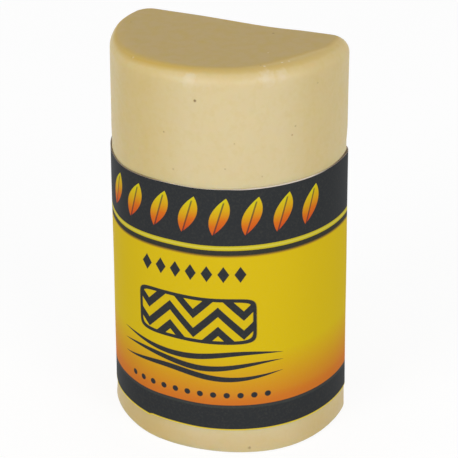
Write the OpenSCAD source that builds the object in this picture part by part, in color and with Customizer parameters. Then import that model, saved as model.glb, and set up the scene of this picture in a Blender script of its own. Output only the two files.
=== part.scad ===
// A short cast stick of soft furniture filler wax. Its section is a D: a bulging front, a flat back and two
// rounded upright corners. A printed label wraps it and laps over itself on the flat back.
// The block stands on its base at z = 0, with the centre of the front's curve on the z axis and the back at +y.

/* [Wax block] */
// Radius of the bulging front, at the base
front_radius = 16; // [14:0.1:18]
// Angle by which each end of the front's curve runs on past the half circle, in degrees
front_extra = 6.2; // [3:0.1:15]
// Radius of the two upright corners beside the flat back, at the base
corner_radius = 3.5; // [3:0.1:4.5]
// Height of the block
block_height = 54.1; // [46:0.1:65]
// Lean of the walls, which lets the cast block out of its mould, in degrees
draft = 0.4; // [0.1:0.1:0.8]
// Radius of the rolled edge round the top
rim_radius = 1.9; // [0.6:0.1:2]
// Radius of the small edge round the base
foot_radius = 0.4; // [0.2:0.1:1]

/* [Label] */
// Height of the label's lower edge above the base
label_rise = 3.4; // [1.5:0.1:6]
// Height of the label itself
label_height = 35.2; // [25:0.1:38]
// Thickness of the printed film
film_thickness = 0.11; // [0.06:0.01:0.2]
// Thickness of the adhesive coat under the film
adhesive_thickness = 0.03; // [0.02:0.01:0.05]
// Length over which the label's tail lies on its lead, on the flat back
lap_width = 5; // [3:0.5:8]
// Length of the slope on which the tail climbs onto the lead
ramp_width = 0.8; // [0.4:0.1:2]
// Radius of the label's four die-cut corners
die_radius = 1.5; // [0.5:0.1:2.5]

/* [Hidden] */
$fn = 120;

// Overrun of every cut past the face that it opens, and of the back into the front
overrun = 0.5;
// Overrun of a stretch past the line where it hands over to the next one on the same surface
hand_over = 0.0000001;
// Steps in the curve of each edge radius
edge_steps = 10;
// Coarse step of a placing in two steps
placing_grid = 0.1;

// Inward step of the walls for each unit of height
lean = tan(draft);

// Centre of the right-hand corner, on which its radius blends into both the front and the back
corner_centre = (front_radius - corner_radius) * [cos(front_extra), sin(front_extra)];
// Distance from the centre of the front's curve to the flat back, at the base
back_depth = corner_centre.y + corner_radius;

label_top = label_rise + label_height;
// Rise of the tail over the lead: it lies on one film and one coat of adhesive
lap_rise = film_thickness + adhesive_thickness;
// Places along the back where the lead ends, where the slope starts, and where the tail ends
lead_end = -lap_width / 2;
ramp_start = lead_end - ramp_width;
tail_end = lap_width / 2;

// Places a shape by a coarse step and a fine one, which keeps every digit where curves hand over to each other
module placed(at) {
    coarse = [for (length = at) floor(length / placing_grid) * placing_grid];
    translate(coarse)
        translate(at - coarse)
            children();
}

// Sets a wall profile at a distance from its axis and trims what would lie inward of a given line
module set_out(reach, from) {
    intersection() {
        translate([reach, 0]) children();
        translate([from, -overrun]) square([front_radius + reach, block_height + 2 * overrun]);
    }
}

// Turns a wall profile at a radius, from one angle to another and a hair past both
module turned(radius, from, to) {
    past = hand_over / radius * 180 / PI;
    rotate_extrude(start = from - past, angle = to - from + 2 * past)
        set_out(radius, 0) children();
}

// Carries a wall profile round the whole outline. In the profile, x = 0 is the outline at the base,
// +x points out of the block and y is the height.
module round_outline() {
    turned(front_radius, 180 - front_extra, 360 + front_extra) children();
    for (side = [0, 1])
        mirror([side, 0, 0])
            placed(corner_centre) {
                turned(corner_radius, front_extra, 90) children();
                // this half of the back, which runs on a little past the middle and into the front
                rotate([90, 0, -90])
                    mirror([1, 0, 0])
                        linear_extrude(corner_centre.x + overrun)
                            set_out(corner_radius, -corner_centre.y - overrun) children();
            }
}

// Centre of an edge radius that touches the leaning wall, for an arc centred at a given height
function edge_centre(radius, height) = [-lean * height - radius / cos(draft), height];

// Points of an arc, from one angle to another
function arc(centre, radius, from, to) = [
    for (step = [0 : edge_steps])
        let (angle = from + (to - from) * step / edge_steps)
            centre + radius * [cos(angle), sin(angle)]
];

// Profile of the cast wall: a small edge at the foot, the leaning face and the rolled rim
module wax_profile() {
    foot = edge_centre(foot_radius, foot_radius);
    rim = edge_centre(rim_radius, block_height - rim_radius);
    polygon([
        [-front_radius, 0],
        each arc(foot, foot_radius, -90, draft),
        each arc(rim, rim_radius, draft, 90),
        [-front_radius, block_height],
    ]);
}

// Profile of a layer of the label, between two distances out from the wax
module layer_profile(inner, outer) {
    polygon([
        for (corner = [[inner, label_rise], [outer, label_rise], [outer, label_top], [inner, label_top]])
            [corner.x / cos(draft) - lean * corner.y, corner.y]
    ]);
}

// What lies past the end of the label, up to a gap away, with its two die-cut corners. It is drawn in the plane
// of the back, and the label lies towards +x from x = 0.
module past_end(gap) {
    polygon([
        [-gap, label_rise - overrun],
        [die_radius, label_rise - overrun],
        each arc([die_radius, label_rise + die_radius], die_radius, 270, 180),
        each arc([die_radius, label_top - die_radius], die_radius, 180, 90),
        [die_radius, label_top + overrun],
        [-gap, label_top + overrun],
    ]);
}

// Takes a shape that is drawn in the plane of the back through all the layers that lie on the back
module through_back() {
    translate([0, back_depth + overrun, 0])
        rotate([90, 0, 0])
            linear_extrude(corner_radius + overrun) children();
}

// The slope and the tail of a layer, which run on from the sleeve and lie on the lead
module lapped_tail(inner, outer) {
    difference() {
        intersection() {
            placed([0, back_depth])
                rotate([draft, 0, 0])
                    linear_extrude(label_top + overrun)
                        polygon([
                            [ramp_start, inner],
                            [lead_end, inner + lap_rise],
                            [tail_end + overrun, inner + lap_rise],
                            [tail_end + overrun, outer + lap_rise],
                            [lead_end, outer + lap_rise],
                            [ramp_start, outer],
                        ]);
            translate([-front_radius, 0, label_rise])
                cube([2 * front_radius, 2 * back_depth, label_height]);
        }
        through_back()
            translate([tail_end, 0]) mirror([1, 0]) past_end(2 * overrun);
    }
}

// One layer of the label: the sleeve round the block, open under the slope, and its lapped tail
module label_layer(inner, outer) {
    difference() {
        round_outline() layer_profile(inner, outer);
        through_back()
            translate([lead_end, 0]) past_end(ramp_width - hand_over);
    }
    lapped_tail(inner, outer);
}

module wax_block() {
    color([0.84, 0.76, 0.58])
        round_outline() wax_profile();
}

module label_adhesive() {
    color([0.93, 0.91, 0.84])
        label_layer(0, adhesive_thickness);
}

module label_film() {
    color([0.86, 0.73, 0.12])
        label_layer(adhesive_thickness, adhesive_thickness + film_thickness);
}

wax_block();
label_adhesive();
label_film();
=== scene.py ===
"""Looks of a short stick of soft furniture filler wax with a printed, lapped label.

Lengths in the classes below are millimetres in the part's own frame: the stick stands on z = 0, the centre
of the front's curve is the z axis and the flat back faces +y. They become metres when a mesh or a lamp is
made. Angles round the stick are degrees from the middle of its front, positive towards +x.
"""

import functools
import logging
import math
from abc import ABC, abstractmethod
from dataclasses import dataclass
from enum import Enum

import bmesh
import bpy
from mathutils import Matrix, Vector, noise


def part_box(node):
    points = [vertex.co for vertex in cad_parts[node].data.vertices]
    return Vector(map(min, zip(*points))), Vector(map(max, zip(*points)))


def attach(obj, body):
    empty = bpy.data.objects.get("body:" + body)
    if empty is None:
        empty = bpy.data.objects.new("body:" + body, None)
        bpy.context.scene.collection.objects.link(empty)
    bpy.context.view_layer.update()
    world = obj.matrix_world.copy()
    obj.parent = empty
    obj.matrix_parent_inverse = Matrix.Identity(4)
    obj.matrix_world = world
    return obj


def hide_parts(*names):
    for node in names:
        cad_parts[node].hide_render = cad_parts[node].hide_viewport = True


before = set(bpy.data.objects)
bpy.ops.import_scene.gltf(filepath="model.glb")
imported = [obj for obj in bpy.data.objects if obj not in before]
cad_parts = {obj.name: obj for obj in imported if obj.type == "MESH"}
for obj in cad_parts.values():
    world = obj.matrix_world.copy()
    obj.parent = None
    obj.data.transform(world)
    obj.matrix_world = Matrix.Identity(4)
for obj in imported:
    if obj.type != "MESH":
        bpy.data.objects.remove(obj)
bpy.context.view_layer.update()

Colour = tuple[float, float, float, float]
Socket = bpy.types.NodeSocket
Mesh = bmesh.types.BMesh

MM = 0.001
UP = Vector((0, 0, 1))
# Two points nearer than this are one, and a point nearer than this to a level lies on it
TOUCHING = 0.01
# How far the label's lower edge is cut short of its solid
EDGE_TRIM = 0.14

log = logging.getLogger("wax_stick")


class Part(Enum):
    """The pieces, each with its name here, the node that it stands for and a material slot name that nothing
    uses.
    """

    WAX = ("wax_body", "wax_block", "wax")
    GLUE = ("label_glue_coat", "label_adhesive", "adhesive")
    FILM = ("label_printed_film", "label_film", "label")


class Edge(Enum):
    """The label's two long edges."""

    TOP = "top"
    BOTTOM = "bottom"


def rgb(red: int, green: int, blue: int) -> Colour:
    """Turns a colour as it looks on screen into the linear colour that a shader takes.

    Args:
        red: its red, from 0 to 255.
        green: its green, likewise.
        blue: its blue, likewise.

    Returns:
        Linear red, green and blue, and an alpha of 1.
    """

    def linear(level: int) -> float:
        """Linear value of one channel, by the standard curve of screens."""
        share = level / 255
        return share / 12.92 if share <= 0.04045 else ((share + 0.055) / 1.055) ** 2.4

    return (linear(red), linear(green), linear(blue), 1.0)


def smooth_step(value: float, start: float, end: float) -> float:
    """Rises smoothly from 0 at start to 1 at end."""
    share = min(max((value - start) / (end - start), 0.0), 1.0)
    return share * share * (3 - 2 * share)


def bump_of(value: float, centre: float, spread: float) -> float:
    """A smooth bump that is 1 at its centre and fades out over a few spreads."""
    return math.exp(-(((value - centre) / spread) ** 2))


def angle_of(spot: Vector) -> float:
    """Angle of a point round the stick."""
    return math.degrees(math.atan2(spot.x, -spot.y))


class Signal:
    """A shader value. Python's operators on it add Math nodes."""

    def __init__(self, shader: "Shader", socket: Socket) -> None:
        """Wraps a socket of a shader's node."""
        self.shader = shader
        self.socket = socket

    def _maths(self, operation: str, *values: "Signal | float", clamp: bool = False) -> "Signal":
        """One Math node.

        Args:
            operation: the node's operation.
            values: its inputs, in order.
            clamp: whether the result is kept between 0 and 1.

        Returns:
            The node's result.
        """
        settings = {"operation": operation, "use_clamp": clamp}
        node = self.shader.node("ShaderNodeMath", settings, dict(enumerate(values)))
        return Signal(self.shader, node.outputs[0])

    def __add__(self, other: "Signal | float") -> "Signal":
        """self + other."""
        return self._maths("ADD", self, other)

    __radd__ = __add__

    def __sub__(self, other: "Signal | float") -> "Signal":
        """self - other."""
        return self._maths("SUBTRACT", self, other)

    def __rsub__(self, other: float) -> "Signal":
        """other - self."""
        return self._maths("SUBTRACT", other, self)

    def __mul__(self, other: "Signal | float") -> "Signal":
        """self * other."""
        return self._maths("MULTIPLY", self, other)

    __rmul__ = __mul__

    def __truediv__(self, other: "Signal | float") -> "Signal":
        """self / other."""
        return self._maths("DIVIDE", self, other)

    def __pow__(self, other: float) -> "Signal":
        """self ** other."""
        return self._maths("POWER", self, other)

    def __abs__(self) -> "Signal":
        """Its size without its sign."""
        return self._maths("ABSOLUTE", self)

    def __neg__(self) -> "Signal":
        """-self."""
        return self._maths("MULTIPLY", self, -1.0)

    def least(self, other: "Signal | float") -> "Signal":
        """The smaller of the two."""
        return self._maths("MINIMUM", self, other)

    def most(self, other: "Signal | float") -> "Signal":
        """The larger of the two."""
        return self._maths("MAXIMUM", self, other)

    def fraction(self) -> "Signal":
        """What is left of it above the whole number below."""
        return self._maths("FRACT", self)

    def sine(self) -> "Signal":
        """Its sine, in radians."""
        return self._maths("SINE", self)

    def turned_from(self, other: "Signal") -> "Signal":
        """Angle of the point (other, self) from the other's axis, in degrees."""
        return self._maths("ARCTAN2", self, other) * math.degrees(1)

    def repeated(self, pitch: float) -> "Signal":
        """Its distance from the middle of the cell that it lies in, where cells repeat at a pitch."""
        return ((self / pitch).fraction() - 0.5) * pitch

    def past(self, level: float, gain: float) -> "Signal":
        """How far it lies past a level, times a gain."""
        return (self - level) * gain

    def swing(self, amount: float) -> "Signal":
        """Noise around 0.5, turned into noise around 0 and multiplied by an amount."""
        return self.past(0.5, amount)

    def rises(self, edge: float, softness: float) -> "Signal":
        """0 below an edge and 1 above it.

        Args:
            edge: where it is one half.
            softness: width of the change.

        Returns:
            The mask.
        """
        scaled = (self - (edge - softness / 2)) / softness
        return scaled._maths("MULTIPLY", scaled, 1.0, clamp=True)

    def within(self, low: float, high: float, softness: float) -> "Signal":
        """1 between two edges and 0 outside them, with soft edges."""
        return self.rises(low, softness) - self.rises(high, softness)

    def in_row(self, pitch: float, count: int, softness: float) -> "Signal":
        """1 along a row of cells that has its middle at 0, and 0 beyond its ends."""
        half = count * pitch / 2
        return self.within(-half, half, softness)


def greatest(signals: list[Signal]) -> Signal:
    """The greatest of several shader values."""
    return functools.reduce(Signal.most, signals)


class Shader:
    """Builds the nodes of one material or of the world."""

    # Places of the two colours among a Mix node's inputs, and of their blend among its outputs
    FIRST_COLOUR = 6
    SECOND_COLOUR = 7
    BLENDED_COLOUR = 2

    def __init__(self, owner: bpy.types.Material | bpy.types.World) -> None:
        """Starts the owner's nodes afresh.

        Args:
            owner: the material or the world.
        """
        owner.use_nodes = True
        self.tree = owner.node_tree
        self.tree.nodes.clear()

    def node(
        self,
        kind: str,
        settings: dict[str, object] | None = None,
        inputs: dict[str | int, object] | None = None,
    ) -> bpy.types.Node:
        """Adds one node.

        Args:
            kind: the node's type.
            settings: its properties, which are set first. "stops" sets a colour ramp's stops.
            inputs: what goes into its sockets, by name or number: a Signal, a socket or a constant.

        Returns:
            The node.
        """
        made = self.tree.nodes.new(kind)
        for name, value in (settings or {}).items():
            if name == "stops":
                self._set_stops(made.color_ramp, value)
            else:
                setattr(made, name, value)
        for key, value in (inputs or {}).items():
            socket = made.inputs[key]
            if isinstance(value, Signal):
                self.tree.links.new(value.socket, socket)
            elif isinstance(value, Socket):
                self.tree.links.new(value, socket)
            else:
                socket.default_value = value
        return made

    @staticmethod
    def _set_stops(ramp: bpy.types.ColorRamp, stops: tuple[tuple[float, Colour], ...]) -> None:
        """Gives a colour ramp its stops.

        Args:
            ramp: the ramp.
            stops: pairs of a place and a colour.
        """
        while len(ramp.elements) < len(stops):
            ramp.elements.new(1.0)
        for element, (place, colour) in zip(ramp.elements, stops):
            element.position = place
            element.color = colour

    def point(self) -> Socket:
        """Place on the piece.

        Returns:
            The place, in millimetres.
        """
        spot = self.node("ShaderNodeTexCoord").outputs["Object"]
        scaled = self.node("ShaderNodeVectorMath", {"operation": "SCALE"}, {0: spot, "Scale": 1 / MM})
        return scaled.outputs[0]

    def parts_of(self, vector: Socket) -> list[Signal]:
        """A vector's x, y and z."""
        split = self.node("ShaderNodeSeparateXYZ", inputs={0: vector})
        return [Signal(self, output) for output in split.outputs]

    def noise(self, vector: Socket, size: float, detail: float = 2.0) -> Signal:
        """Cloudy noise around 0.5.

        Args:
            vector: place on the piece, in millimetres.
            size: rough size of its clouds, in millimetres.
            detail: how many finer layers it has.

        Returns:
            The noise.
        """
        inputs = {"Vector": vector, "Scale": 1 / size, "Detail": detail}
        return Signal(self, self.node("ShaderNodeTexNoise", inputs=inputs).outputs[0])

    def distance(self, vector: Socket, centre: Vector) -> Signal:
        """Distance of the place on the piece from a point, in millimetres."""
        node = self.node("ShaderNodeVectorMath", {"operation": "DISTANCE"}, {0: vector, 1: centre})
        return Signal(self, node.outputs["Value"])

    def blend(self, share: Signal | float, first: Socket | Colour, second: Socket | Colour) -> Socket:
        """Blends two colours.

        Args:
            share: how much of the second shows, which is kept between 0 and 1.
            first: the colour where share is 0.
            second: the colour where share is 1.

        Returns:
            The blended colour.
        """
        settings = {"data_type": "RGBA", "clamp_factor": True}
        inputs = {"Factor": share, self.FIRST_COLOUR: first, self.SECOND_COLOUR: second}
        return self.node("ShaderNodeMix", settings, inputs).outputs[self.BLENDED_COLOUR]

    def surface(self, settings: dict[str, object]) -> None:
        """Ends the material in one Principled BSDF with these inputs."""
        shader = self.node("ShaderNodeBsdfPrincipled", inputs=settings)
        self.node("ShaderNodeOutputMaterial", inputs={"Surface": shader.outputs[0]})

    def relief(self, height: Signal) -> Socket:
        """Surface relief from a height in millimetres."""
        return self.node("ShaderNodeBump", inputs={"Height": height, "Distance": MM}).outputs[0]


class Place:
    """Where a point of a surface lies."""

    def __init__(self, shader: Shader) -> None:
        """Finds the point in millimetres, its three parts and its angle round the stick.

        Args:
            shader: the surface's shader.
        """
        self.point = shader.point()
        self.x, self.y, self.z = shader.parts_of(self.point)
        self.angle = self.x.turned_from(-self.y)


@dataclass(frozen=True)
class Step:
    """A soft step from 0 up to 1."""

    middle: float
    softness: float

    def of(self, value: Signal) -> Signal:
        """0 where a value is below the step and 1 where it is above."""
        return value.rises(self.middle, self.softness)


@dataclass(frozen=True)
class Stretch:
    """A stretch between two angles, heights or places, with soft ends, and how much there is on it."""

    start: float
    end: float
    softness: float
    amount: float = 1.0

    def of(self, value: Signal) -> Signal:
        """The amount where a value is on the stretch, and 0 where it is outside."""
        return value.within(self.start, self.end, self.softness) * self.amount


@dataclass(frozen=True)
class Mark:
    """One tiny pit or speck, or a painted highlight or glint."""

    spot: Vector
    size: float
    strength: float = 1.0


@dataclass(frozen=True)
class Marks:
    """A set of marks, whose outlines the surface's grain makes uneven."""

    marks: list[Mark]
    edge: Step = Step(0.8, 0.9)
    unevenness: float = 1.4

    def mask(self, shader: Shader, point: Socket, grain: Signal) -> Signal:
        """Where the marks show.

        Args:
            shader: the surface's shader.
            point: place on the piece.
            grain: the surface's grain.

        Returns:
            The mask.
        """
        masks = []
        for mark in self.marks:
            reach = shader.distance(point, mark.spot) / mark.size + grain.swing(self.unevenness)
            masks.append((1 - self.edge.of(reach)) * mark.strength)
        return greatest(masks)


@dataclass(frozen=True)
class Outline:
    """Plan of the leaning wall, a bulging front, round corners and a flat back, and the rim's roll."""

    front_radius: float = 16.0
    front_extra: float = math.radians(6.2)
    corner_radius: float = 3.5
    lean: float = math.tan(math.radians(0.4))
    rim_radius: float = 1.9

    @property
    def corner_centre(self) -> Vector:
        """Centre of the right-hand corner."""
        reach = self.front_radius - self.corner_radius
        return Vector((reach * math.cos(self.front_extra), reach * math.sin(self.front_extra), 0))

    @property
    def back_depth(self) -> float:
        """Distance from the z axis to the flat back."""
        return self.corner_centre.y + self.corner_radius

    @property
    def front_half(self) -> float:
        """Length of the front from its middle to a corner."""
        return self.front_radius * (math.pi / 2 + self.front_extra)

    @property
    def corner_turn(self) -> float:
        """Angle that each corner turns through, in radians."""
        return math.pi / 2 - self.front_extra

    @property
    def half_length(self) -> float:
        """Length of the wall from the middle of the front to the middle of the back."""
        return self.front_half + self.corner_radius * self.corner_turn + self.corner_centre.x

    def place(self, along: float, height: float, out: float = 0.0) -> Vector:
        """A point on or beside the wall.

        Args:
            along: distance along the wall from the middle of the front, positive towards +x. It may run
                on past the middle of the back.
            height: height above the base.
            out: distance outwards from the wall.

        Returns:
            The point.
        """
        reach = out - self.lean * height
        distance = abs(along)
        if distance <= self.front_half:
            angle = distance / self.front_radius - math.pi / 2
            radius = self.front_radius + reach
            x = radius * math.cos(angle)
            y = radius * math.sin(angle)
        else:
            turn = min((distance - self.front_half) / self.corner_radius, self.corner_turn)
            angle = self.front_extra + turn
            radius = self.corner_radius + reach
            straight = max(distance - self.front_half - self.corner_radius * self.corner_turn, 0.0)
            x = self.corner_centre.x + radius * math.cos(angle) - straight
            y = self.corner_centre.y + radius * math.sin(angle)
        return Vector((-x if along < 0 else x, y, height))


@dataclass(frozen=True)
class Flare:
    """A stretch of the wall that stands out towards the foot."""

    angle: float
    spread: float
    depth: float
    reach: float

    def at(self, spot: Vector) -> float:
        """How far the wall stands out at a point."""
        across = bump_of(angle_of(spot), self.angle, self.spread)
        return self.depth * across * math.exp(-spot.z / self.reach)


@dataclass(frozen=True)
class Swell:
    """A tall stretch of the wall that stands out by one amount at the base and by another at the top."""

    angle: float
    spread: float
    base: float
    top: float

    def at(self, spot: Vector, height: float) -> float:
        """How far the wall stands out at a point of a block of a given height."""
        depth = self.base + (self.top - self.base) * spot.z / height
        return depth * bump_of(angle_of(spot), self.angle, self.spread)


@dataclass(frozen=True)
class Dent:
    """A shallow dent in the wax, which the label bridges."""

    angle: float
    spread: float
    height: float
    rise: float
    depth: float

    def at(self, spot: Vector) -> float:
        """How far the wax lies back at a point."""
        across = bump_of(angle_of(spot), self.angle, self.spread)
        return self.depth * across * bump_of(spot.z, self.height, self.rise)


@dataclass(frozen=True)
class Casting:
    """How the cast block strays from its plain shape: waves, swells, dents, a bow, flares and a hollow."""

    height: float
    wave_depth: float = 0.05
    wave_size: float = 14.0
    bow_angle: float = 114.2
    bow_depth: float = 0.5
    hollow_depth: float = 0.24
    hollow_centre: float = 4.0
    hollow_spread: float = 8.0
    hollow_fade: float = 6.0
    flares: tuple[Flare, ...] = (
        Flare(-68.0, 14.0, 0.34, 3.0),
        Flare(50.0, 26.0, 0.5, 1.4),
        Flare(3.0, 15.0, -0.3, 1.0),
    )
    swells: tuple[Swell, ...] = (
        Swell(-34.0, 13.0, -0.15, 0.42),
        Swell(-4.0, 13.0, -0.2, -0.2),
        Swell(48.0, 24.0, 0.3, -0.2),
        Swell(-86.0, 9.0, 0.0, 0.22),
        Swell(-107.0, 7.0, 0.0, -0.25),
        Swell(112.0, 6.0, 0.0, 0.4),
    )
    dents: tuple[Dent, ...] = (Dent(112.0, 16.0, 39.8, 1.4, 0.26), Dent(-66.0, 10.0, 39.4, 1.1, 0.08))

    @property
    def bow_way(self) -> Vector:
        """Level direction in which the block bows."""
        turn = math.radians(self.bow_angle)
        return Vector((math.sin(turn), -math.cos(turn), 0))

    def out(self, spot: Vector) -> float:
        """How far the wall, and the label on it, stand out.

        Args:
            spot: a point of the plain wall.

        Returns:
            The distance outwards.
        """
        waves = self.wave_depth * noise.noise(spot / self.wave_size)
        swells = sum(swell.at(spot, self.height) for swell in self.swells)
        return waves + swells + sum(flare.at(spot) for flare in self.flares)

    def dented(self, spot: Vector) -> float:
        """How far the bare wax lies back at a point."""
        return sum(dent.at(spot) for dent in self.dents)

    def carried(self, spot: Vector) -> Vector:
        """How far the bow carries a point."""
        share = spot.z / self.height
        return self.bow_way * (self.bow_depth * share * share)

    def sunk(self, spot: Vector, front: float, back: float) -> float:
        """How far the top sinks at a point.

        Args:
            spot: the point.
            front: place of the middle of the front along y.
            back: place of the back along y.

        Returns:
            The depth, which fades out down the wall.
        """
        across = bump_of(spot.x, self.hollow_centre, self.hollow_spread)
        sink = self.hollow_depth * across * smooth_step(spot.y, front, back)
        return sink * smooth_step(spot.z, self.height - self.hollow_fade, self.height)


@dataclass(frozen=True)
class Finder:
    """Finds places on the block as it was cast, for the marks in it."""

    outline: Outline
    casting: Casting

    def wall(self, angle: float, height: float) -> Vector:
        """A point of the bulging front.

        Args:
            angle: its angle round the stick.
            height: its height.

        Returns:
            The point.
        """
        along = math.radians(angle) * self.outline.front_radius
        plain = self.outline.place(along, height)
        out = self.casting.out(plain)
        return self.outline.place(along, height, out) + self.casting.carried(plain)

    def rim(self, angle: float, turn: float) -> Vector:
        """A point of the rolled rim.

        Args:
            angle: its angle round the stick.
            turn: how far it lies round the roll, in degrees up from the wall.

        Returns:
            The point.
        """
        roll = math.radians(turn)
        rise = self.outline.rim_radius * (1 - math.sin(roll))
        spot = self.wall(angle, self.casting.height - rise)
        level = Vector((spot.x, spot.y, 0)).normalized()
        spot -= level * self.outline.rim_radius * (1 - math.cos(roll))
        return self._settled(spot)

    def top(self, x: float, y: float) -> Vector:
        """A point of the top."""
        plain = Vector((x, y, self.casting.height))
        return self._settled(plain + self.casting.carried(plain))

    def _settled(self, spot: Vector) -> Vector:
        """The point, sunk as the top is there."""
        drop = self.casting.sunk(spot, -self.outline.front_radius, self.outline.back_depth)
        return spot - UP * drop


@dataclass(frozen=True)
class WaxFinish:
    """Soft cast filler wax: a warm beige, with a pale sheen painted on its front as highlight, an ochre glow
    painted on its rim and shade painted on its top.

    Its stretches are angles, but the line of painted shadow above the label is a stretch of heights above
    the label. Its steps are heights: above the base for the foot, and from the top's for the painted sheen,
    the rim and the top. Those whose names end with inset are distances inwards from the wall.
    """

    pits: Marks
    painted_highlights: Marks
    outline: Outline
    height: float
    label_top: float
    body: Colour = rgb(214, 193, 138)
    warm: Colour = rgb(212, 187, 119)
    warm_level: float = 0.38
    warm_gain: float = 1.1
    # Painted sheen: the soft boxes' broad highlight on the front, painted pale into the colour
    sheen_colour: Colour = rgb(232, 220, 188)
    sheen_front: Stretch = Stretch(-6.0, 130.0, 22.0)
    sheen_loss: Stretch = Stretch(58.0, 200.0, 16.0, 0.7)
    sheen_stop: Step = Step(-0.75, 1.0)
    sheen_share: float = 0.4
    sheen_clouds: float = 0.3
    foot_colour: Colour = rgb(208, 180, 126)
    foot_rise: Step = Step(2.6, 2.2)
    foot_share: float = 0.4
    left_foot_colour: Colour = rgb(208, 176, 98)
    left_foot: Stretch = Stretch(-130.0, -10.0, 30.0, 0.35)
    left_foot_rise: Step = Step(3.0, 4.0)
    # Painted shade: the top is painted darker, as it only gets grazing light
    top_shade_colour: Colour = rgb(196, 171, 118)
    top_mottle_colour: Colour = rgb(190, 160, 72)
    top_mottle_level: float = 0.4
    top_mottle_gain: float = 0.9
    top_rise: Step = Step(-0.6, 0.3)
    top_inset: Step = Step(1.8, 0.6)
    # Painted glow: the ochre band where light scattered through the wax shows at the rim, painted into the
    # colour
    rim_glow_colour: Colour = rgb(204, 172, 82)
    rim_glow_share: float = 0.9
    rim_glow_loss: Stretch = Stretch(30.0, 130.0, 60.0, 0.3)
    rim_rise: Step = Step(-0.24, 0.5)
    rim_inset: Step = Step(2.1, 0.9)
    rim_left: Stretch = Stretch(-130.0, -6.0, 40.0, 0.4)
    rim_right: Stretch = Stretch(46.0, 70.0, 20.0, 0.3)
    crest_left: Stretch = Stretch(-130.0, -10.0, 60.0, 0.8)
    crest_right: Stretch = Stretch(42.0, 78.0, 24.0, 0.6)
    crest_corner: Stretch = Stretch(80.0, 118.0, 12.0)
    back_reach: float = 0.6
    mottle_colour: Colour = rgb(204, 181, 92)
    mottle_level: float = 0.45
    mottle_gain: float = 0.4
    # Painted highlights and glints of the lamps on the rim and the top
    highlight_colour: Colour = rgb(225, 213, 186)
    pit_colour: Colour = rgb(124, 88, 52)
    # Painted shadow: brown in the gap where the label's upper edge stands off the wax
    gap_shadow_colour: Colour = rgb(86, 60, 50)
    gap_shadow_left: Stretch = Stretch(-110.0, -10.0, 12.0, 0.55)
    gap_shadow_line: Stretch = Stretch(-0.3, 0.08, 0.1)
    gap_shadow_right: Stretch = Stretch(84.0, 132.0, 34.0, 0.58)
    # The wedge of painted shadow on the right starts at the label and ends a little below the height that
    # the right stretch of painted shadow gives
    wedge_start: Step = Step(-0.1, 0.1)
    wedge_end: Step = Step(0.12, 0.2)
    wedge_share: float = 0.85
    cloud_size: float = 9.0
    mottle_size: float = 1.5
    grain_size: float = 0.6
    grain_warmth: float = 0.5
    grain_mottle: float = 0.25
    roughness: float = 0.42
    grain_roughness: float = 0.2
    top_roughness: float = 0.3
    rim_polish: float = 0.06
    relief_depth: float = 0.02
    pit_depth: float = 0.1
    glow_depth: float = 2.2

    def material(self) -> bpy.types.Material:
        """Makes the material.

        Returns:
            The material.
        """
        made = bpy.data.materials.new("soft_wax")
        shader = Shader(made)
        place = Place(shader)
        clouds = shader.noise(place.point, self.cloud_size, detail=3.0)
        grain = shader.noise(place.point, self.grain_size, detail=3.0)
        mottle = shader.noise(place.point, self.mottle_size)
        inward = self._inward(place)
        rim = self._rim(place, inward)
        # The top's mask: painted darker as shade, and made rougher
        top = self.top_rise.of(place.z - self.height) * self.top_inset.of(inward)
        pitted = self.pits.mask(shader, place.point, grain)
        # Painted highlights and glints
        highlighted = self.painted_highlights.mask(shader, place.point, grain)
        warmth = clouds.past(self.warm_level, self.warm_gain) + grain.swing(self.grain_warmth)
        foot = (1 - self.foot_rise.of(place.z)) * self.foot_share
        left_foot = self.left_foot.of(place.angle) * (1 - self.left_foot_rise.of(place.z))
        top_mottled = top * mottle.past(self.top_mottle_level, self.top_mottle_gain)
        # Painted ochre glow on the rim
        painted_glow = rim * (self.rim_glow_share - self.rim_glow_loss.of(place.angle))
        mottled = mottle.past(self.mottle_level, self.mottle_gain) + grain.swing(self.grain_mottle)
        layers = (
            (warmth, self.warm),
            (self._painted_sheen(place, clouds), self.sheen_colour),
            (foot, self.foot_colour),
            (left_foot, self.left_foot_colour),
            (top, self.top_shade_colour),
            (top_mottled, self.top_mottle_colour),
            (painted_glow, self.rim_glow_colour),
            (mottled, self.mottle_colour),
            (highlighted, self.highlight_colour),
            (self._gap_shadow(place), self.gap_shadow_colour),
            (pitted, self.pit_colour),
        )
        tone = self.body
        for share, colour in layers:
            tone = shader.blend(share, tone, colour)
        roughness = self.roughness + grain.swing(self.grain_roughness)
        roughness = roughness + top * self.top_roughness - rim * self.rim_polish
        bumps = clouds.swing(self.relief_depth) + grain.swing(self.relief_depth)
        shader.surface(
            {
                "Base Color": tone,
                "Roughness": roughness,
                "IOR": 1.45,
                "Specular IOR Level": 0.28,
                "Subsurface Weight": 0.5,
                "Subsurface Radius": (1.0, 0.62, 0.28),
                "Subsurface Scale": self.glow_depth * MM,
                "Normal": shader.relief(bumps - pitted * self.pit_depth),
            }
        )
        return made

    def _inward(self, place: Place) -> Signal:
        """How far a place lies inwards from the wall, with the crest as far askew as it was cast.

        Args:
            place: the place on the block.

        Returns:
            The distance: less than the true one on the right, and more on the left, at the right corner and
            behind.
        """
        reach = (place.x * place.x + place.y * place.y) ** 0.5
        front = self.outline.front_radius - reach
        back = self.outline.back_depth + self.back_reach - place.y
        askew = self.crest_left.of(place.angle) - self.crest_right.of(place.angle)
        corner = self.crest_corner.of(place.angle) * self.back_reach
        return front.least(back) - place.z * self.outline.lean + askew + corner

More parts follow.
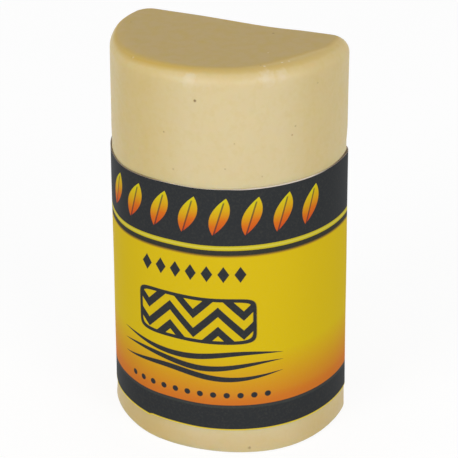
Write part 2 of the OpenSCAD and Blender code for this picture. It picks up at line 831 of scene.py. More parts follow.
    def _rim(self, place: Place, inward: Signal) -> Signal:
        """Where the rolled rim lies, on which an ochre glow of light through the wax is painted.

        Args:
            place: the place on the block.
            inward: how far it lies inwards from the wall.

        Returns:
            The mask. It reaches further down on the left, and further in on a part of the right.
        """
        risen = place.z - self.height + self.rim_left.of(place.angle)
        inner = inward - self.rim_right.of(place.angle)
        return self.rim_rise.of(risen) * (1 - self.rim_inset.of(inner))

    def _painted_sheen(self, place: Place, clouds: Signal) -> Signal:
        """Where the painted sheen lies, a pale highlight from the front round to the right, below the rim.

        Args:
            place: the place on the block.
            clouds: the wax's clouds.

        Returns:
            The mask.
        """
        front = self.sheen_front.of(place.angle) * (1 - self.sheen_loss.of(place.angle))
        below = 1 - self.sheen_stop.of(place.z - self.height)
        return front * below * (self.sheen_share + clouds.swing(self.sheen_clouds))

    def _gap_shadow(self, place: Place) -> Signal:
        """Where shadow is painted brown on the wax beside the label's upper edge, in the gap where it stands
        off.

        Args:
            place: the place on the block.

        Returns:
            The mask: a thin line on the left and a wedge on the right.
        """
        above = place.z - self.label_top
        line = self.gap_shadow_left.of(place.angle) * self.gap_shadow_line.of(above)
        reach = self.gap_shadow_right.of(place.angle) - above
        wedge = self.wedge_end.of(reach) * self.wedge_start.of(above) * self.wedge_share
        return line.most(wedge)


@dataclass(frozen=True)
class PaperFinish:
    """The label's white cut edge and its unprinted back, with shade painted brown on them beyond the front.
    """

    colour: Colour = rgb(236, 230, 226)
    fibre_colour: Colour = rgb(214, 205, 198)
    # Painted shade on the cut edge beyond the front
    edge_shade: Colour = rgb(116, 92, 82)
    unshaded: Stretch = Stretch(-10.0, 74.0, 12.0)
    edge_shade_share: float = 0.8
    fibre_size: float = 0.25
    fibre_level: float = 0.4
    fibre_gain: float = 0.5
    fibre_depth: float = 0.01

    def material(self) -> bpy.types.Material:
        """Makes the material.

        Returns:
            The material.
        """
        made = bpy.data.materials.new("label_paper_edge")
        shader = Shader(made)
        place = Place(shader)
        fibres = shader.noise(place.point, self.fibre_size, detail=4.0)
        fibrous = fibres.past(self.fibre_level, self.fibre_gain)
        # The painted highlights and glints of the rim and one glint of the top.
        colour = shader.blend(fibrous, self.colour, self.fibre_colour)
        # Painted shade: brown beyond the front, where the cut edge lies in shadow
        colour = shader.blend((1 - self.unshaded.of(place.angle)) * self.edge_shade_share, colour, self.edge_shade)
        relief = shader.relief(fibres * self.fibre_depth)
        shader.surface({"Base Color": colour, "Roughness": 0.8, "Normal": relief})
        return made


@dataclass(frozen=True)
class GlueFinish:
    """The thin coat of clear adhesive under the label."""

    colour: Colour = rgb(214, 200, 166)
    ripple_colour: Colour = rgb(190, 172, 132)
    ripple_size: float = 0.5
    ripple_level: float = 0.3
    ripple_depth: float = 0.01

    def material(self) -> bpy.types.Material:
        """Makes the material.

        Returns:
            The material.
        """
        made = bpy.data.materials.new("label_glue")
        shader = Shader(made)
        ripples = shader.noise(shader.point(), self.ripple_size)
        colour = shader.blend(ripples - self.ripple_level, self.colour, self.ripple_colour)
        relief = shader.relief(ripples * self.ripple_depth)
        shader.surface({"Base Color": colour, "Roughness": 0.35, "Normal": relief})
        return made


class Motif(ABC):
    """A motif that is printed on the label's field."""

    @abstractmethod
    def mask(self, along: Signal, height: Signal) -> Signal:
        """Where the motif is printed.

        Args:
            along: place along the label from the middle of the front.
            height: height above the base.

        Returns:
            The mask.
        """


@dataclass(frozen=True)
class Lozenges(Motif):
    """A short row of small lozenges."""

    centre: float = 1.4
    height: float = 26.65
    pitch: float = 2.2
    count: int = 7
    half_width: float = 0.78
    half_height: float = 1.15
    softness: float = 0.12
    end_softness: float = 0.044

    def mask(self, along: Signal, height: Signal) -> Signal:
        """Where the row is printed.

        Args:
            along: place along the label from the middle of the front.
            height: height above the base.

        Returns:
            The mask.
        """
        x = along - self.centre
        cell = abs((x + self.pitch / 2).repeated(self.pitch))
        size = cell / self.half_width + abs(height - self.height) / self.half_height
        row = x.in_row(self.pitch, self.count, self.end_softness)
        return (1 - size.rises(1.0, self.softness)) * row


@dataclass(frozen=True)
class Parquet(Motif):
    """A framed panel of zigzag parquet."""

    centre: float = 1.7
    height: float = 19.85
    half_width: float = 8.4
    half_height: float = 3.35
    border: float = 0.5
    roundness: float = 8.0
    frame_softness: float = 0.02
    plank_width: float = 1.4
    fold_width: float = 3.36
    plank_edge: Step = Step(0.5, 0.08)

    def mask(self, along: Signal, height: Signal) -> Signal:
        """Where the frame and the black planks are printed.

        Args:
            along: place along the label from the middle of the front.
            height: height above the base.

        Returns:
            The mask.
        """
        x = along - self.centre
        y = height - self.height
        zigzag = abs(x.repeated(2 * self.fold_width))
        plank = abs((y + zigzag).repeated(2 * self.plank_width)) / self.plank_width
        return self._panel(x, y) - self._panel(x, y, self.border) * self.plank_edge.of(plank)

    def _panel(self, x: Signal, y: Signal, inset: float = 0.0) -> Signal:
        """Mask of a rectangle with round corners.

        Args:
            x: place across from its middle.
            y: place up from its middle.
            inset: how much smaller it is than the panel, all round.

        Returns:
            The mask.
        """
        across = abs(x / (self.half_width - inset)) ** self.roundness
        up = abs(y / (self.half_height - inset)) ** self.roundness
        return 1 - ((across + up) ** (1 / self.roundness)).rises(1.0, self.frame_softness)


@dataclass(frozen=True)
class Waves(Motif):
    """Long waves that thin out towards their ends."""

    centre: float = 1.6
    heights: tuple[float, ...] = (11.7, 13.2, 14.7)
    half_length: float = 12.2
    half_width: float = 0.42
    least_width: float = 0.001
    swing: float = 0.45
    turn_per_mm: float = 0.33
    lag_per_mm: float = 0.8
    softness: float = 0.25
    tip: Step = Step(0.02, 0.02)

    def mask(self, along: Signal, height: Signal) -> Signal:
        """Where the waves are printed.

        Args:
            along: place along the label from the middle of the front.
            height: height above the base.

        Returns:
            The mask.
        """
        x = along - self.centre
        share = x / self.half_length
        taper = (1 - share * share).most(0.0)
        waves = []
        for lift in self.heights:
            middle = lift + (x * self.turn_per_mm + lift * self.lag_per_mm).sine() * self.swing
            gap = abs(height - middle) / (taper * self.half_width + self.least_width)
            waves.append(1 - gap.rises(1.0, self.softness))
        return greatest(waves) * self.tip.of(taper)


@dataclass(frozen=True)
class Dots(Motif):
    """A row of round dots."""

    centre: float = 1.6
    height: float = 8.85
    pitch: float = 1.8
    count: int = 12
    radius: float = 0.42
    softness: float = 0.1
    end_softness: float = 0.05

    def mask(self, along: Signal, height: Signal) -> Signal:
        """Where the row is printed.

        Args:
            along: place along the label from the middle of the front.
            height: height above the base.

        Returns:
            The mask.
        """
        x = along - self.centre
        cell = x.repeated(self.pitch)
        up = height - self.height
        size = (cell * cell + up * up) ** 0.5
        row = x.in_row(self.pitch, self.count, self.end_softness)
        return (1 - size.rises(self.radius, self.softness)) * row


@dataclass(frozen=True)
class Leaves:
    """A row of slanted leaves, yellow at the tip and red at the stalk."""

    centre: float = 34.8
    height: float = 5.3
    half_width: float = 1.25
    inset: float = 0.05
    pitch: float = 4.2
    count: int = 8
    start: float = -13.6
    slant: float = 0.34
    softness: float = 0.09
    rib_half_width: float = 0.11
    rib_bend: float = 0.12
    rib_end: Step = Step(0.75, 0.1)
    rib_share: float = 0.75
    light: float = 0.16
    glow: tuple[tuple[float, Colour], ...] = (
        (0.0, rgb(206, 62, 36)),
        (0.4, rgb(216, 112, 34)),
        (0.65, rgb(216, 164, 30)),
        (1.0, rgb(214, 200, 32)),
    )

    def paint(self, shader: Shader, along: Signal, height: Signal, ground: Socket) -> Socket:
        """Paints the leaves.

        Args:
            shader: the label's shader.
            along: place along the label from the middle of the front.
            height: height above the base.
            ground: the colour round the leaves.

        Returns:
            The ground with the leaves on it.
        """
        risen = height - self.centre
        up = risen / (self.height / 2)
        leaning = along - risen * self.slant - self.start
        cell = leaning.repeated(self.pitch)
        half = (1 - up * up) * self.half_width
        row = leaning.within(0.0, self.pitch * self.count, self.softness)
        leaf = (half - abs(cell)).rises(self.inset, self.softness) * row
        beside_rib = abs(cell + up * self.rib_bend).rises(self.rib_half_width, self.softness)
        rib = (1 - beside_rib) * (1 - self.rib_end.of(up))
        lit = (1 - cell.rises(0.0, self.softness)) * self.light
        glow = shader.node("ShaderNodeValToRGB", {"stops": self.glow}, {"Fac": (up + 1) * 0.5 + lit})
        return shader.blend(leaf * (1 - rib * self.rib_share), ground, glow.outputs["Color"])


@dataclass(frozen=True)
class Print:
    """The label's printing.

    Heights are above the base, but deep_rise and grey_rule are above the lower band's top. Places along the
    label are from the middle of the front.
    """

    black: Colour = rgb(51, 53, 55)
    softness: float = 0.09
    yellow: Colour = rgb(218, 188, 26)
    orange: Colour = rgb(212, 129, 42)
    fade_top: float = 14.9
    fade_depth: float = 7.0
    fade_centre: float = 7.0
    fade_slope: float = 0.04
    deep_orange: Colour = rgb(210, 112, 42)
    deep_rise: Step = Step(0.8, 2.0)
    deep_share: float = 0.85
    fringe: Colour = rgb(176, 108, 42)
    fringe_start: Step = Step(29.17, 0.36)
    fringe_share: float = 0.6
    line_black: Colour = rgb(56, 56, 50)
    line_start: Step = Step(29.28, 0.36)
    stripe: Colour = rgb(206, 188, 42)
    stripe_bottom: float = 30.08
    stripe_top: float = 30.74
    stripe_core: Colour = rgb(214, 201, 78)
    core_half_width: float = 0.12
    base_line: float = 3.7
    low_band_top: float = 7.36
    grey_line: Colour = rgb(74, 77, 72)
    grey_rule: Stretch = Stretch(-0.45, -0.08, 0.2, 0.5)
    edge_line: Colour = rgb(240, 221, 62)
    leaves: Leaves = Leaves()
    motifs: tuple[Motif, ...] = (Lozenges(), Dots(), Parquet(), Waves())

    def colour(self, shader: Shader, along: Signal, height: Signal) -> Socket:
        """Paints the whole label.

        Args:
            shader: the label's shader.
            along: place along the label, in millimetres.
            height: height above the base, in millimetres.

        Returns:
            The colour of the print.
        """
        colour = self._field(shader, along, height)
        ink = greatest([motif.mask(along, height) for motif in self.motifs])
        colour = shader.blend(ink, colour, self.black)
        colour = self._upper_band(shader, height, colour)
        colour = self.leaves.paint(shader, along, height, colour)
        return self._lower_band(shader, height, colour)

    def _field(self, shader: Shader, along: Signal, height: Signal) -> Socket:
        """Paints the yellow field, which fades into orange towards the lower band.

        Args:
            shader: the label's shader.
            along: place along the label.
            height: height above the base.

        Returns:
            The field's colour.
        """
        side_rise = abs(along - self.fade_centre) * self.fade_slope
        fade = (self.fade_top + side_rise - height) / self.fade_depth
        colour = shader.blend(fade, self.yellow, self.orange)
        near_band = 1 - self.deep_rise.of(height - self.low_band_top)
        return shader.blend(near_band * self.deep_share, colour, self.deep_orange)

    def _upper_band(self, shader: Shader, height: Signal, ground: Socket) -> Socket:
        """Paints the black line, the yellow stripe and the upper black band over the field.

        Args:
            shader: the label's shader.
            height: height above the base.
            ground: the colour below.

        Returns:
            The ground with them on it.
        """
        colour = shader.blend(self.fringe_start.of(height) * self.fringe_share, ground, self.fringe)
        colour = shader.blend(self.line_start.of(height), colour, self.line_black)
        stripe = height.within(self.stripe_bottom, self.stripe_top, self.softness)
        colour = shader.blend(stripe, colour, self.stripe)
        from_core = abs(height - (self.stripe_bottom + self.stripe_top) / 2)
        core = 1 - from_core.rises(self.core_half_width, self.softness)
        colour = shader.blend(core, colour, self.stripe_core)
        return shader.blend(height.rises(self.stripe_top, self.softness), colour, self.black)

    def _lower_band(self, shader: Shader, height: Signal, ground: Socket) -> Socket:
        """Paints the lower black band, the greyish line along its top and the yellow line below it.

        Args:
            shader: the label's shader.
            height: height above the base.
            ground: the colour below.

        Returns:
            The ground with them on it.
        """
        band = height.within(self.base_line, self.low_band_top, self.softness)
        colour = shader.blend(band, ground, self.black)
        colour = shader.blend(self.grey_rule.of(height - self.low_band_top), colour, self.grey_line)
        return shader.blend(1 - height.rises(self.base_line, self.softness), colour, self.edge_line)


@dataclass(frozen=True)
class FilmFinish:
    """The label's matt printed face."""

    printing: Print
    specks: Marks
    length: float
    low: float
    high: float
    margin: float = 0.1
    margin_softness: float = 0.05
    margin_stretch: Stretch = Stretch(8.0, 19.5, 3.0)
    margin_colour: Colour = rgb(226, 212, 196)
    speck_colour: Colour = rgb(96, 74, 36)
    dust_colour: Colour = rgb(190, 182, 150)
    dust_level: float = 0.47
    dust_gain: float = 0.09
    grain_size: float = 0.3
    grain_depth: float = 0.003
    swell_size: float = 5.0
    swell_depth: float = 0.03
    roughness: float = 0.5
    grain_roughness: float = 0.15

    def material(self) -> bpy.types.Material:
        """Makes the material.

        Returns:
            The material.
        """
        made = bpy.data.materials.new("label_print")
        shader = Shader(made)
        flat = shader.node("ShaderNodeUVMap", {"uv_map": "flat"}).outputs[0]
        across, upward, _ = shader.parts_of(flat)
        along = (across - 0.5) * self.length
        height = self.low + upward * (self.high - self.low)
        point = shader.point()
        grain = shader.noise(point, self.grain_size, detail=3.0)
        swell = shader.noise(point, self.swell_size, detail=1.0)
        margin = height.rises(self.high - self.margin, self.margin_softness) * self.margin_stretch.of(along)
        colour = self.printing.colour(shader, along, height)
        colour = shader.blend(margin, colour, self.margin_colour)
        colour = shader.blend(self.specks.mask(shader, point, grain), colour, self.speck_colour)
        colour = shader.blend(grain.past(self.dust_level, self.dust_gain), colour, self.dust_colour)
        shader.surface(
            {
                "Base Color": colour,
                "Roughness": self.roughness + grain.swing(self.grain_roughness),
                "Specular IOR Level": 0.02,
                "Normal": shader.relief(grain * self.grain_depth + swell * self.swell_depth),
            }
        )
        return made


def put_in_scene(name: str, data: bpy.types.ID) -> bpy.types.Object:
    """Puts an object into the scene.

    Args:
        name: its name.
        data: its mesh, lamp or camera.

    Returns:
        The object.
    """
    made = bpy.data.objects.new(name, data)
    bpy.context.scene.collection.objects.link(made)
    return made


def put_mesh(name: str, shape: Mesh, finishes: list[bpy.types.Material]) -> bpy.types.Object:
    """Puts a shape into the scene.

    Args:
        name: its name.
        shape: the shape in metres, which is freed.
        finishes: its materials, in the order of its material slots.

    Returns:
        The object.
    """
    mesh = bpy.data.meshes.new(name)
    shape.to_mesh(mesh)
    shape.free()
    for finish in finishes:
        mesh.materials.append(finish)
    return put_in_scene(name, mesh)


def make_piece(part: Part, shape: Mesh, finishes: list[bpy.types.Material]) -> bpy.types.Object:
    """Turns a shape in millimetres into a piece that stands for its node.

    Args:
        part: which piece it is.
        shape: its shape, which is freed.
        finishes: its materials, in the order of its material slots.

    Returns:
        The piece.
    """
    name, node, slot = part.value
    bmesh.ops.scale(shape, vec=Vector((MM, MM, MM)), verts=shape.verts)
    for face in shape.faces:
        face.smooth = True
    piece = put_mesh(name, shape, finishes)
    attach(piece, "root")
    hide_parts(node)
    log.info("%s: %d faces", name, len(piece.data.polygons))
    return piece


@dataclass
class WaxBlock:
    """The cast block: a leaning D-section wall, a rolled rim, an eased foot and a slightly hollow top."""

    outline: Outline
    casting: Casting
    height: float
    foot_radius: float = 0.3
    rim_segments: int = 10
    foot_segments: int = 4
    front_steps: int = 120
    corner_steps: int = 16
    back_steps: int = 44
    wall_rings: int = 60
    cap_rings: tuple[float, ...] = (0.93, 0.9, 0.86, 0.8, 0.68, 0.4)

    def build(self, finish: WaxFinish) -> bpy.types.Object:
        """Models the block and dresses it.

        Args:
            finish: the wax's finish.

        Returns:
            The piece.
        """
        shape = bmesh.new()
        self._sweep_wall(shape)
        self._close_ends(shape)
        self._round_edges(shape)
        self._ring_wall(shape)
        bmesh.ops.recalc_face_normals(shape, faces=shape.faces)
        self._settle(shape)
        return make_piece(Part.WAX, shape, [finish.material()])

    def _sweep_wall(self, shape: Mesh) -> None:
        """Sweeps an upright line round the front, the right corner, the back and the left corner.

        Args:
            shape: the block, which is still empty.
        """
        outline = self.outline
        start = -outline.front_half
        foot, top = (shape.verts.new(outline.place(start, height)) for height in (0.0, self.height))
        geometry = [foot, top, shape.edges.new((foot, top))]
        centre = outline.corner_centre
        other_centre = Vector((-centre.x, centre.y, 0))
        stretches = (
            (Vector(), 2 * (math.pi / 2 + outline.front_extra), Vector(), self.front_steps),
            (centre, outline.corner_turn, Vector(), self.corner_steps),
            (Vector(), 0.0, Vector((-2 * centre.x / self.back_steps, 0, 0)), self.back_steps),
            (other_centre, outline.corner_turn, Vector(), self.corner_steps),
        )
        for middle, angle, shift, steps in stretches:
            swept = bmesh.ops.spin(
                shape, geom=geometry, cent=middle, axis=UP, angle=angle, dvec=shift, steps=steps
            )
            geometry = swept["geom_last"]
        bmesh.ops.remove_doubles(shape, verts=shape.verts, dist=TOUCHING)

    @staticmethod
    def _edges_at(shape: Mesh, height: float) -> list[bmesh.types.BMEdge]:
        """The edges that lie level at a height."""
        level = {vert for vert in shape.verts if abs(vert.co.z - height) < TOUCHING}
        return [edge for edge in shape.edges if level.issuperset(edge.verts)]

    def _close_ends(self, shape: Mesh) -> None:
        """Fills the base and the top.

        Args:
            shape: the block, which is a wall so far.
        """
        for height in (0.0, self.height):
            loop = [edge for edge in self._edges_at(shape, height) if edge.is_boundary]
            bmesh.ops.edgeloop_fill(shape, edges=loop)

    def _round_edges(self, shape: Mesh) -> None:
        """Rolls the rim and eases the foot.

        Args:
            shape: the block, which has sharp edges so far.
        """
        rim = (self.height, self.outline.rim_radius, self.rim_segments)
        foot = (0.0, self.foot_radius, self.foot_segments)
        for height, radius, segments in (rim, foot):
            bmesh.ops.bevel(
                shape,
                geom=self._edges_at(shape, height),
                offset=radius,
                segments=segments,
                profile=0.5,
                affect="EDGES",
                material=-1,
                clamp_overlap=False,
            )

    def _ring_wall(self, shape: Mesh) -> None:
        """Cuts the wall and both ends into rings, so that they can follow gentle waves.

        Args:
            shape: the block.
        """
        tall = [edge for edge in shape.edges if edge.calc_length() > self.height / 2]
        bmesh.ops.subdivide_edges(shape, edges=tall, cuts=self.wall_rings, use_grid_fill=True)
        for cap in [face for face in shape.faces if len(face.verts) > self.back_steps]:
            middle = Matrix.Translation(-cap.calc_center_median())
            for shrink in self.cap_rings:
                cap = bmesh.ops.extrude_discrete_faces(shape, faces=[cap])["faces"][0]
                bmesh.ops.scale(shape, vec=Vector((shrink, shrink, 1)), space=middle, verts=cap.verts[:])
            bmesh.ops.poke(shape, faces=[cap])

    def _settle(self, shape: Mesh) -> None:
        """Gives the block all that its casting strays by.

        Args:
            shape: the block, in its plain shape.
        """
        shape.normal_update()
        front = -self.outline.front_radius
        back = self.outline.back_depth
        moves = {}
        for vert in shape.verts:
            spot = vert.co
            level = Vector((vert.normal.x, vert.normal.y, 0))
            shift = level * (self.casting.out(spot) - self.casting.dented(spot))
            shift += self.casting.carried(spot)
            shift.z -= self.casting.sunk(spot, front, back)
            moves[vert] = shift
        for vert, shift in moves.items():
            vert.co += shift


@dataclass(frozen=True)
class Lift:
    """A stretch where an edge of the label stands off the wax a little."""

    edge: Edge
    centre: float
    spread: float
    rise: float
    reach: float = 1.0

    def at(self, along: float, from_edge: float) -> float:
        """How far the label stands off here."""
        return self.rise * bump_of(along, self.centre, self.spread) * math.exp(-from_edge / self.reach)


@dataclass(frozen=True)
class Sag:
    """A stretch where an edge of the label and the print beside it lie a little low."""

    edge: Edge
    start: float
    end: float
    softness: float
    drop: float
    reach: float = 1.0

    def at(self, along: float, from_edge: float) -> float:
        """How much lower the label lies here.

        Args:
            along: place along the label from the middle of the front.
            from_edge: distance from the edge that sags.

        Returns:
            The drop.
        """
        half = self.softness / 2
        share = smooth_step(along, self.start - half, self.start + half)
        share -= smooth_step(along, self.end - half, self.end + half)
        return self.drop * share * math.exp(-from_edge / self.reach)


@dataclass
class Label:
    """The wrapped label: cut flat with round corners, wrapped round the block and lapped on the back."""

    outline: Outline
    casting: Casting
    low: float
    high: float
    film: float = 0.11
    glue: float = 0.03
    lap: float = 5.0
    ramp: float = 0.8
    die_radius: float = 1.5
    die_segments: int = 8
    cant: float = 0.06
    # Spacing of the upright and of the level cuts, and closer level ones beside the two long edges
    column: float = 0.5
    row: float = 0.9
    edge_zone: float = 2.0
    edge_rows: tuple[float, ...] = (0.12, 0.28, 0.5, 0.8, 1.2, 1.7)
    # A point nearer than this to a cut lies on it
    on_cut: float = 0.0001
    lifts: tuple[Lift, ...] = (Lift(Edge.TOP, -18.0, 6.0, 0.03), Lift(Edge.BOTTOM, -5.6, 0.6, 0.06))
    sags: tuple[Sag, ...] = (
        Sag(Edge.TOP, -16.0, -3.6, 1.6, 0.05),
        Sag(Edge.BOTTOM, -16.0, -5.2, 0.6, 0.2),
    )

    @property
    def length(self) -> float:
        """Length of the label before it is wrapped."""
        return 2 * self.outline.half_length + self.lap

    @property
    def fold(self) -> float:
        """Place along the label where its tail has climbed onto its lead."""
        return self.lap / 2 - self.outline.half_length

    def build(self, finishes: list[bpy.types.Material], glue: bpy.types.Material) -> None:
        """Models the printed film and the coat under it.

        Args:
            finishes: the materials of the film's face and of its cut edge.
            glue: the material of the coat.
        """
        film = make_piece(Part.FILM, self._wrapped(self.glue + self.film), finishes)
        self._thicken(film, self.film, edge_slot=1)
        coat = make_piece(Part.GLUE, self._wrapped(self.glue), [glue])
        self._thicken(coat, self.glue, edge_slot=0)

    @staticmethod
    def _thicken(piece: bpy.types.Object, thickness: float, edge_slot: int) -> None:
        """Gives a sheet its thickness, inwards.

        Args:
            piece: the sheet.
            thickness: its thickness.
            edge_slot: material slot of its cut edge and its back.
        """
        wall = piece.modifiers.new("thickness", "SOLIDIFY")
        wall.thickness = thickness * MM
        wall.offset = -1
        wall.use_even_offset = True
        wall.material_offset = edge_slot
        wall.material_offset_rim = edge_slot

    def _wrapped(self, out: float) -> Mesh:
        """One layer of the label, wrapped round the block.

        Args:
            out: distance of the layer's outer face from the wax.

        Returns:
            The outer face.
        """
        shape = self._cut_flat()
        for vert in shape.verts:
            along, height = vert.co.x, vert.co.y
            raised = height + self._canted(along) - self._sagging(along, height)
            base = self.outline.place(along, raised)
            off = out + self._lap_rise(along) + self._lifted(along, height) + self.casting.out(base)
            vert.co = self.outline.place(along, raised, off) + self.casting.carried(base)
        return shape

    def _canted(self, along: float) -> float:
        """How much higher the label stands here, as it goes round a little askew."""
        return self.cant * math.sin(math.pi * along / self.outline.half_length)

    def _cut_flat(self) -> Mesh:
        """The label as it is cut: a long rectangle with round corners, ruled into fine cells.

        Returns:
            The flat label, with its place along and up as a UV map.
        """
        shape = bmesh.new()
        bmesh.ops.create_grid(shape, x_segments=1, y_segments=1, size=0.5)
        size = Vector((self.length, self.high - self.low, 1))
        bmesh.ops.scale(shape, vec=size, verts=shape.verts)
        bmesh.ops.translate(shape, vec=Vector((0, (self.low + self.high) / 2, 0)), verts=shape.verts)
        bmesh.ops.bevel(
            shape,
            geom=shape.verts[:],
            offset=self.die_radius,
            segments=self.die_segments,
            profile=0.5,
            affect="VERTICES",
            material=-1,
        )
        for place in self._columns():
            self._rule(shape, Vector((place, 0, 0)), Vector((1, 0, 0)))
        for place in self._rows():
            self._rule(shape, Vector((0, place, 0)), Vector((0, 1, 0)))
        flat = shape.loops.layers.uv.new("flat")
        for face in shape.faces:
            for loop in face.loops:
                across = loop.vert.co.x / self.length + 0.5
                upward = (loop.vert.co.y - self.low) / (self.high - self.low)
                loop[flat].uv = (across, upward)
        return shape

    def _rule(self, shape: Mesh, spot: Vector, way: Vector) -> None:
        """Cuts every face along one line.

        Args:
            shape: the flat label.
            spot: a point of the line.
            way: the direction across the line.
        """
        everything = [*shape.verts, *shape.edges, *shape.faces]
        bmesh.ops.bisect_plane(shape, geom=everything, plane_co=spot, plane_no=way, dist=self.on_cut)

    def _columns(self) -> list[float]:
        """Places of the upright cuts.

        Returns:
            One place on each fold of the lap, and even ones that keep clear of the folds.
        """
        folds = [self.fold, self.fold + self.ramp]
        clear = self.column / 3
        count = round(self.length / self.column)
        even = [self.length * (index / count - 0.5) for index in range(1, count)]
        return folds + [place for place in even if all(abs(place - fold) > clear for fold in folds)]

    def _rows(self) -> list[float]:
        """Heights of the level cuts.

        Returns:
            Even heights, and closer ones beside the two long edges.
        """
        middle = self.high - self.low - 2 * self.edge_zone
        count = round(middle / self.row)
        even = [self.low + self.edge_zone + middle * index / count for index in range(count + 1)]
        lower = [self.low + step for step in self.edge_rows]
        upper = [self.high - step for step in self.edge_rows]
        return lower + even + upper

    def _lap_rise(self, along: float) -> float:
        """How far the tail rises where it climbs onto the lead and lies on it.

        Args:
            along: place along the label from the middle of the front.

        Returns:
            The distance outwards.
        """
        share = (self.fold + self.ramp - along) / self.ramp
        return (self.film + self.glue) * min(max(share, 0.0), 1.0)

    def _from_edges(self, height: float) -> dict[Edge, float]:
        """Distance of a height from each long edge."""
        return {Edge.TOP: self.high - height, Edge.BOTTOM: height - self.low}

    def _lifted(self, along: float, height: float) -> float:
        """How far the label stands off the wax beside its edges."""
        from_edge = self._from_edges(height)
        return sum(lift.at(along, from_edge[lift.edge]) for lift in self.lifts)

    def _sagging(self, along: float, height: float) -> float:
        """How much too low the label lies beside its edges."""
        from_edge = self._from_edges(height)
        return sum(sag.at(along, from_edge[sag.edge]) for sag in self.sags)


def direction(azimuth: float, elevation: float) -> Vector:
    """Direction from the stick towards a place round it, both angles in degrees."""
    turn, rise = math.radians(azimuth), math.radians(elevation)
    return Vector((math.sin(turn) * math.cos(rise), -math.cos(turn) * math.cos(rise), math.sin(rise)))


@dataclass(frozen=True)
class Lamp:
    """A soft box that is aimed at the stick.

    Its share is how bright it makes a white surface that faces it, from 0 to 1.
    """

    name: str
    azimuth: float
    elevation: float
    share: float
    distance: float = 620.0
    size: float = 260.0

    def build(self, aim: Vector) -> None:
        """Hangs the lamp.

        Args:
            aim: the point that it faces.
        """
        lamp = bpy.data.lights.new(self.name, "AREA")
        lamp.shape = "SQUARE"
        lamp.size = self.size * MM
        lamp.energy = self.share * math.pi**2 * (self.distance * MM) ** 2
        back = direction(self.azimuth, self.elevation)
        spot = (aim + back * self.distance) * MM
        turn = back.to_track_quat("Z", "Y")
        put_in_scene(self.name, lamp).matrix_world = Matrix.LocRotScale(spot, turn, None)


@dataclass
class Studio:
    """Camera, soft lights and a plain pale floor.

    The camera's angles are degrees, and its lens and sensor are millimetres.
    """

    azimuth: float = 24.9
    elevation: float = 26.4
    roll: float = -0.89
    distance: float = 262.2
    aim_height: float = 28.0
    aim_right: float = -0.17
    aim_up: float = -2.4
    lens: float = 153.4
    sensor: float = 36.0
    nearest: float = 10.0
    daylight: float = 0.53
    floor_reach: float = 1500.0
    floor_drop: float = 0.02
    floor_colour: Colour = (0.8, 0.8, 0.8, 1.0)
    floor_glow: float = 1.09
    floor_share: float = 0.8
    lamps: tuple[Lamp, ...] = (
        Lamp("left_soft_box", -19.0, 22.0, 0.29),
        Lamp("right_soft_box", 61.0, 22.0, 0.29),
    )

    def build(self) -> None:
        """Sets everything up."""
        aim = Vector((0, 0, self.aim_height))
        for lamp in self.lamps:
            lamp.build(aim)
        self._place_camera(aim)
        self._lay_floor()
        self._light_world()
        bpy.context.scene.view_settings.view_transform = "Standard"

    def _place_camera(self, aim: Vector) -> None:
        """Puts the camera at the photograph's viewing angle.

        Args:
            aim: the point that it faces before it is shifted sideways and up.
        """
        back = direction(self.azimuth, self.elevation)
        right = UP.cross(back).normalized()
        up = back.cross(right)
        level = Matrix((right, up, back)).transposed().to_4x4()
        turn = level @ Matrix.Rotation(math.radians(self.roll), 4, "Z")
        right, up = turn.col[0].to_3d(), turn.col[1].to_3d()
        spot = aim + back * self.distance + right * self.aim_right + up * self.aim_up
        camera = bpy.data.cameras.new("camera")
        camera.lens = self.lens
        camera.sensor_width = self.sensor
        camera.clip_start = self.nearest * MM
        holder = put_in_scene("camera", camera)
        holder.matrix_world = Matrix.Translation(spot * MM) @ turn
        bpy.context.scene.camera = holder

    def _lay_floor(self) -> None:
        """Lays a pale floor that looks white but keeps a soft shadow."""
        shape = bmesh.new()
        bmesh.ops.create_grid(shape, x_segments=1, y_segments=1, size=self.floor_reach * MM)
        bmesh.ops.translate(shape, vec=Vector((0, 0, -self.floor_drop * MM)), verts=shape.verts)
        floor = put_mesh("floor", shape, [self._floor_material()])

    def _floor_material(self) -> bpy.types.Material:
        """Makes the floor's material, which glows where the camera sees it.

        Returns:
            The material.
        """
        made = bpy.data.materials.new("pale_floor")
        shader = Shader(made)
        paper = shader.node("ShaderNodeBsdfDiffuse", inputs={"Color": self.floor_colour}).outputs[0]
        light = shader.node("ShaderNodeEmission", inputs={"Strength": self.floor_glow}).outputs[0]
        share = self._seen(shader) * self.floor_share
        mixed = shader.node("ShaderNodeMixShader", inputs={0: share, 1: paper, 2: light})
        shader.node("ShaderNodeOutputMaterial", inputs={"Surface": mixed.outputs[0]})
        return made

    @staticmethod
    def _seen(shader: Shader) -> Signal:
        """What the camera sees, straight or in gloss or glass.

        Args:
            shader: the shader of the floor or of the world.

        Returns:
            1 for what it sees, and 0 for what only lights the stick.
        """
        path = shader.node("ShaderNodeLightPath")
        kinds = ("Camera", "Glossy", "Transmission")
        return greatest([Signal(shader, path.outputs[f"Is {kind} Ray"]) for kind in kinds])

    def _light_world(self) -> None:
        """Fills the room with even light, in front of a white background."""
        world = bpy.data.worlds.new("studio")
        bpy.context.scene.world = world
        shader = Shader(world)
        strength = self._seen(shader) * (1 - self.daylight) + self.daylight
        inputs = {"Color": (1, 1, 1, 1), "Strength": strength}
        background = shader.node("ShaderNodeBackground", inputs=inputs).outputs[0]
        shader.node("ShaderNodeOutputWorld", inputs={"Surface": background})


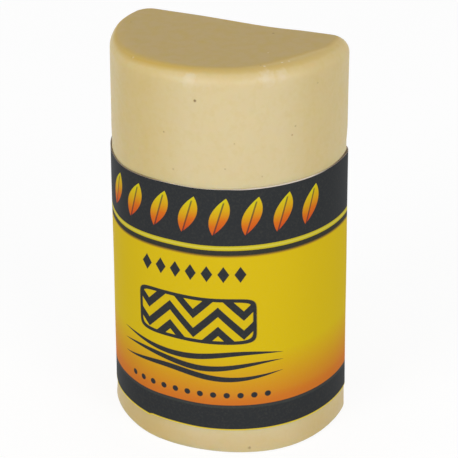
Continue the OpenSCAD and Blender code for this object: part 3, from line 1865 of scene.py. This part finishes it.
def wax_pits(finder: Finder) -> Marks:
    """The few pits and specks that show in the wax.

    Args:
        finder: finds their places on the block.

    Returns:
        The pits of the front, those of the top and one in the rim.
    """
    # Angle round the stick, height, size and strength of each
    front = (
        (7.7, 50.3, 0.2, 0.85),
        (55.3, 46.1, 0.13, 0.35),
        (53.6, 45.0, 0.13, 0.45),
        (-8.3, 45.4, 0.12, 0.4),
        (25.9, 44.8, 0.12, 0.3),
        (67.9, 51.0, 0.13, 0.3),
        (-3.4, 40.6, 0.14, 0.3),
        (21.7, 41.4, 0.12, 0.3),
        (38.7, 40.1, 0.12, 0.3),
        (32.1, 0.8, 0.2, 0.5),
    )
    # Place along x and y, size and strength of each
    top = (
        (5.5, 0.9, 0.16, 0.5),
        (-13.0, -2.9, 0.12, 0.35),
        (8.6, -10.3, 0.14, 0.35),
    )
    pits = [Mark(finder.wall(angle, height), size, strength) for angle, height, size, strength in front]
    pits += [Mark(finder.top(x, y), size, strength) for x, y, size, strength in top]
    return Marks(pits + [Mark(finder.rim(-30.4, 52.0), 0.14, 0.4)])


def painted_highlights(finder: Finder) -> Marks:
    """Pale patches on the rolled rim and a few bright flecks along its crest.

    Args:
        finder: finds their places on the block.

    Returns:
        The patches and flecks of the rim and one of the top.
    """
    # Angle round the stick, degrees up the roll, size and strength of each
    rim = (
        (4.6, 22.0, 0.95, 0.55),
        (41.0, 26.0, 1.0, 0.55),
        (48.5, 30.0, 0.8, 0.4),
        (-29.6, 58.0, 0.17, 0.8),
        (41.6, 81.0, 0.2, 0.8),
        (52.0, 88.0, 0.16, 0.7),
        (56.0, 88.0, 0.14, 0.6),
    )
    pale = [Mark(finder.rim(angle, turn), size, strength) for angle, turn, size, strength in rim]
    return Marks(pale + [Mark(finder.top(7.7, -5.9), 0.14, 0.5)])


def label_specks(finder: Finder) -> Marks:
    """The dirt on the label.

    Args:
        finder: finds its places on the block.

    Returns:
        Two specks.
    """
    # Angle round the stick, height, size and strength of each
    places = ((35.7, 20.9, 0.2, 0.7), (51.1, 14.6, 0.16, 0.5))
    specks = [Mark(finder.wall(angle, height), size, strength) for angle, height, size, strength in places]
    return Marks(specks, edge=Step(0.8, 0.7))


def main() -> None:
    """Builds the stick's pieces in order, then the studio round them."""
    logging.basicConfig(level=logging.INFO, format="%(name)s: %(message)s")
    outline = Outline()
    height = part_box("wax_block")[1].z / MM
    low, high = (corner.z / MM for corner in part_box("label_film"))
    casting = Casting(height)
    finder = Finder(outline, casting)
    wax = WaxFinish(wax_pits(finder), painted_highlights(finder), outline, height, label_top=high)
    WaxBlock(outline, casting, height).build(wax)
    label = Label(outline, casting, low + EDGE_TRIM, high)
    face = FilmFinish(Print(), label_specks(finder), label.length, label.low, label.high)
    label.build([face.material(), PaperFinish().material()], GlueFinish().material())
    Studio().build()


if __name__ == "__main__":
    main()
